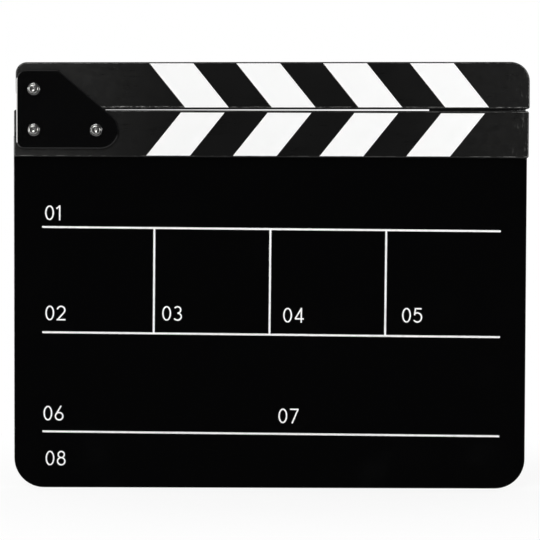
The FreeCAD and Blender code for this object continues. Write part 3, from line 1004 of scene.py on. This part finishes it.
def nut_rings(bore, back):
    """Rings of a nut from its bore, over the countersunk front and the hexagon, to the hexagon's back."""
    return [(bore, REAR_SEAT + NUT_LEAD), (bore + NUT_LEAD, REAR_SEAT)] + hex_rings(REAR_SEAT, back)


def plain_nut_mesh(name, look):
    """Hexagon nut, countersunk at both ends."""
    bore = look.thread_radius + NUT_PLAY
    rings = nut_rings(bore, PLATE_NUT_BACK)
    rings += [(bore + NUT_LEAD, PLATE_NUT_BACK), (bore, PLATE_NUT_BACK - NUT_LEAD)]
    return turned_mesh(name, rings, NUT_STEPS, closed=True)


def lock_nut_mesh(name, look):
    """Nut with a rolled collar over its nylon ring."""
    wall = 0.4 * MM
    roll = 0.25 * MM
    foot_width, foot_height = 0.04 * MM, 0.1 * MM
    lip, lip_front, lip_back = 0.12 * MM, 0.3 * MM, 0.1 * MM
    floor_height = 0.02 * MM
    base, back = LOCK_RING_LOW.y, LOCK_NUT_HIGH.y
    floor = base + floor_height
    bore = look.thread_radius + NUT_PLAY
    seat = LOCK_RING_RADIUS + RING_PLAY
    collar = seat + wall
    rings = nut_rings(bore, base)
    rings += arc((collar + foot_width, base + foot_height), (foot_width, foot_height), 270, 180, steps=3)
    rings += arc((collar - roll, back - roll), (roll, roll), 0, 110, steps=6)
    rings += [(seat - lip, back - lip_back), (seat, back - lip_front), (seat, floor), (bore, floor)]
    return turned_mesh(name, rings, NUT_STEPS, closed=True)


def nylon_ring_mesh(name, look):
    """Ring of nylon inside the lock nut's collar, with a bulged back."""
    above_floor = 0.03 * MM
    below_rim = 0.32 * MM
    bulge = 0.12 * MM
    bore = look.thread_radius + RING_PLAY
    outer = LOCK_RING_RADIUS
    half = (outer - bore) / 2
    base = LOCK_RING_LOW.y + above_floor
    back = LOCK_RING_HIGH.y - below_rim
    rings = [(bore, base), (outer, base), (outer, back)]
    rings += arc((bore + half, back), (half, bulge), 0, 180, steps=6)[1:]
    return turned_mesh(name, rings, WASHER_STEPS, closed=True)


# Turn of each screw's cross, as it was left when tightened
SCREW_TURNS = {"pivot": math.radians(14), "left": math.radians(4), "right": math.radians(-7)}
# Places of the washers' front and back faces along the screws
WASHER_FACES = {"front": (FRONT_SEAT, FRONT_PLATE), "rear": (REAR_PLATE, REAR_SEAT)}


class CLAPPER_OT_fit_screws(bpy.types.Operator):
    """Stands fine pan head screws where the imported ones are"""

    bl_idname = "clapper.fit_screws"
    bl_label = "Fit screws"

    def execute(self, context):
        look = context.scene.fastener_look
        plating = build_finish("bright_steel", bright_plating, look)
        for name, axis in SCREW_AXES.items():
            node = "pivot_screw" if name == "pivot" else "plate_screws"
            piece = name + "_pan_screw"
            mesh = screw_mesh(piece, look, SCREW_TURNS[name])
            add_piece(piece, mesh, plating, axis, stands_for=[node])
        return {"FINISHED"}


class CLAPPER_OT_fit_washers(bpy.types.Operator):
    """Stands round-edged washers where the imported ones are"""

    bl_idname = "clapper.fit_washers"
    bl_label = "Fit washers"

    def execute(self, context):
        look = context.scene.fastener_look
        plating = bpy.data.materials["bright_steel"]
        for name, axis in SCREW_AXES.items():
            group = "pivot_%s_washer" if name == "pivot" else "plate_%s_washers"
            for side, (front, back) in WASHER_FACES.items():
                piece = name + "_" + side + "_flat_washer"
                mesh = washer_mesh(piece, look, front, back)
                add_piece(piece, mesh, plating, axis, stands_for=[group % side])
        return {"FINISHED"}


class CLAPPER_OT_fit_nuts(bpy.types.Operator):
    """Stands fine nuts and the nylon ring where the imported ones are"""

    bl_idname = "clapper.fit_nuts"
    bl_label = "Fit nuts"

    def execute(self, context):
        look = context.scene.fastener_look
        plating = bpy.data.materials["bright_steel"]
        nuts = (
            ("left_hex_nut", plain_nut_mesh, "left", "plate_nuts"),
            ("right_hex_nut", plain_nut_mesh, "right", "plate_nuts"),
            ("collar_nut", lock_nut_mesh, "pivot", "pivot_lock_nut"),
        )
        for piece, shape, axis, node in nuts:
            mesh = shape(piece, look)
            place = SCREW_AXES[axis]
            add_piece(piece, mesh, plating, place, NUT_SHARP_ANGLE, stands_for=[node])
        mesh = nylon_ring_mesh("nylon_ring", look)
        nylon = bpy.data.materials["nylon"]
        add_piece("nylon_ring", mesh, nylon, SCREW_AXES["pivot"], stands_for=["lock_nut_ring"])
        return {"FINISHED"}


# Soft lamps that look at the middle of the board: place, width, height and the look that sets the power
LAMPS = {
    "left_lamp": ((-0.5, -1.1, 1.15), 0.9, 0.9, "left_power"),
    "right_lamp": ((1.05, -0.85, 0.35), 0.7, 0.7, "right_power"),
    "back_left_lamp": ((-0.95, 1.0, 0.35), 1.2, 1.2, "back_power"),
    "back_right_lamp": ((0.95, 1.0, 0.35), 1.2, 1.2, "back_power"),
    "rim_lamp": ((-1.1, 0.1, 0.24), 0.3, 0.5, "rim_power"),
}
FLOOR_RADIUS = 4.0
FLOOR_STEPS = 96
SENSOR_WIDTH_MM = 36
WHITE = (1, 1, 1, 1)


def add_soft_lamp(name, place, aim, width, height, power):
    """Lamp with a rectangular face that looks at the aim and that the camera doesn't see."""
    data = bpy.data.lights.new(name, "AREA")
    data.shape = "RECTANGLE"
    data.size = width
    data.size_y = height
    data.energy = power
    lamp = add_object(name, data)
    lamp.location = place
    lamp.rotation_euler = (Vector(aim) - Vector(place)).to_track_quat("-Z", "Y").to_euler()
    lamp.visible_camera = False


def light_world(look):
    """White for the camera, a pale room for gloss to show, and a fill that leaves the front dark."""
    world = bpy.data.worlds.new("studio")
    start = cleared_tree(world)
    seen = output_of(start, "ShaderNodeLightPath", "Is Camera Ray")
    gloss = output_of(start, "ShaderNodeLightPath", "Is Glossy Ray")
    through = output_of(start, "ShaderNodeLightPath", "Is Transmission Ray")
    direction = output_of(start, "ShaderNodeTexCoord", "Generated")
    across, depth, rise = [axis_part(direction, axis) for axis in "XYZ"]
    # The room that gloss shows: side walls, a brighter left one, a ceiling, a table and a low patchy sheen
    sides = (1 - smooth(depth.absolute(), 0.25, 0.85)) * smooth(rise, -0.25, 0.35)
    left = smooth(-1 * across, 0.45, 0.8)
    above = smooth(rise, 0.8, 0.97)
    table = 1 - smooth(rise, -0.45, -0.15)
    clutter = smooth(noise(direction, 4, 2), 0.35, 0.65)
    sheen = (0.15 + 0.85 * clutter) * (1 - smooth(rise, -0.4, 0)) * smooth(depth, 0.1, 0.5)
    room = 0.1 * sides + 0.5 * left + 0.2 * above + 0.4 * table + 0.3 * sheen + 0.02
    shown = gloss * room + through
    unseen = 1 - seen.largest(gloss).largest(through)
    strength = seen.largest(shown) + unseen * look.fill * smooth(depth, -0.95, -0.55)
    background = output_of(
        start, "ShaderNodeBackground", "Background", {"Color": WHITE, "Strength": strength})
    start.node("ShaderNodeOutputWorld", None, {"Surface": background})
    bpy.context.scene.world = world


def floor_material(look):
    """Pale floor that shows white to the camera but keeps a share of the object's shadow."""
    material = bpy.data.materials.new("pale_floor")
    material.cycles.emission_sampling = "NONE"
    place = output_of(cleared_tree(material), "ShaderNodeTexCoord", "Object")
    reach = length_of(stretched(place, 0.4, 1, 1))
    seen = output_of(place, "ShaderNodeLightPath", "Is Camera Ray")
    share = seen * (0.85 + 0.15 * smooth(reach, 0.06, 0.26))
    colour = (*look.floor_colour, 1)
    paint = output_of(place, "ShaderNodeBsdfPrincipled", "BSDF", {"Base Color": colour, "Roughness": 0.9})
    glow = output_of(place, "ShaderNodeEmission", "Emission", {"Color": WHITE, "Strength": 1.0})
    surface = output_of(place, "ShaderNodeMixShader", "Shader", {0: share, 1: paint, 2: glow})
    place.node("ShaderNodeOutputMaterial", None, {"Surface": surface})
    return material


def add_floor(look):
    """Round floor below the board; gloss shows the world's pale table in its place."""
    bm = bmesh.new()
    bmesh.ops.create_circle(bm, cap_ends=True, radius=FLOOR_RADIUS, segments=FLOOR_STEPS)
    mesh = bpy.data.meshes.new("floor")
    bm.to_mesh(mesh)
    bm.free()
    mesh.materials.append(floor_material(look))
    floor = add_object("floor", mesh)
    floor.location.z = CAD_BOX[0].z
    floor.visible_glossy = False


def aim_camera(look):
    """Camera in front of the board, turned to the aim."""
    data = bpy.data.cameras.new("camera")
    data.sensor_width = SENSOR_WIDTH_MM
    data.lens = look.lens
    camera = add_object("camera", data)
    back = Vector((0, -math.cos(look.elevation), math.sin(look.elevation)))
    turn = (-back).to_track_quat("-Z", "Y").to_matrix() @ Matrix.Rotation(look.roll, 3, "Z")
    camera.rotation_euler = turn.to_euler()
    camera.location = Vector(look.aim) + back * look.distance
    bpy.context.scene.camera = camera


class CLAPPER_OT_set_stage(bpy.types.Operator):
    """Adds the floor, the lamps, the white surround and the camera"""

    bl_idname = "clapper.set_stage"
    bl_label = "Set stage"

    def execute(self, context):
        look = context.scene.stage_look
        context.scene.view_settings.view_transform = "Standard"
        add_floor(look)
        middle = (CAD_BOX[0] + CAD_BOX[1]) / 2
        for name, (place, width, height, power) in LAMPS.items():
            add_soft_lamp(name, place, middle, width, height, getattr(look, power))
        light_world(look)
        aim_camera(look)
        return {"FINISHED"}


OPERATORS = (
    CLAPPER_OT_dress_slate,
    CLAPPER_OT_print_slate,
    CLAPPER_OT_dress_sticks,
    CLAPPER_OT_dress_stripes,
    CLAPPER_OT_dress_plates,
    CLAPPER_OT_dress_pivot,
    CLAPPER_OT_fit_screws,
    CLAPPER_OT_fit_washers,
    CLAPPER_OT_fit_nuts,
    CLAPPER_OT_set_stage,
)


class CLAPPER_PT_looks(bpy.types.Panel):
    """Lists the steps that dress the clapperboard, and the looks that they follow"""

    bl_idname = "CLAPPER_PT_looks"
    bl_label = "Clapperboard"
    bl_space_type = "VIEW_3D"
    bl_region_type = "UI"
    bl_category = "Clapperboard"

    def draw(self, context):
        for operator in OPERATORS:
            self.layout.operator(operator.bl_idname)
        for name, look in LOOKS.items():
            box = self.layout.box()
            box.label(text=name.replace("_", " ").capitalize())
            for setting in look.__annotations__:
                box.prop(getattr(context.scene, name), setting)


def register():
    for name, look in LOOKS.items():
        bpy.utils.register_class(look)
        setattr(bpy.types.Scene, name, PointerProperty(type=look))
    for operator in OPERATORS:
        bpy.utils.register_class(operator)
    bpy.utils.register_class(CLAPPER_PT_looks)


def unregister():
    bpy.utils.unregister_class(CLAPPER_PT_looks)
    for operator in reversed(OPERATORS):
        bpy.utils.unregister_class(operator)
    for name, look in LOOKS.items():
        delattr(bpy.types.Scene, name)
        bpy.utils.unregister_class(look)


def main():
    register()
    bpy.ops.clapper.dress_slate()
    bpy.ops.clapper.print_slate()
    bpy.ops.clapper.dress_sticks()
    bpy.ops.clapper.dress_stripes()
    bpy.ops.clapper.dress_plates()
    bpy.ops.clapper.dress_pivot()
    bpy.ops.clapper.fit_screws()
    bpy.ops.clapper.fit_washers()
    bpy.ops.clapper.fit_nuts()
    bpy.ops.clapper.set_stage()


if __name__ == "__main__":
    main()
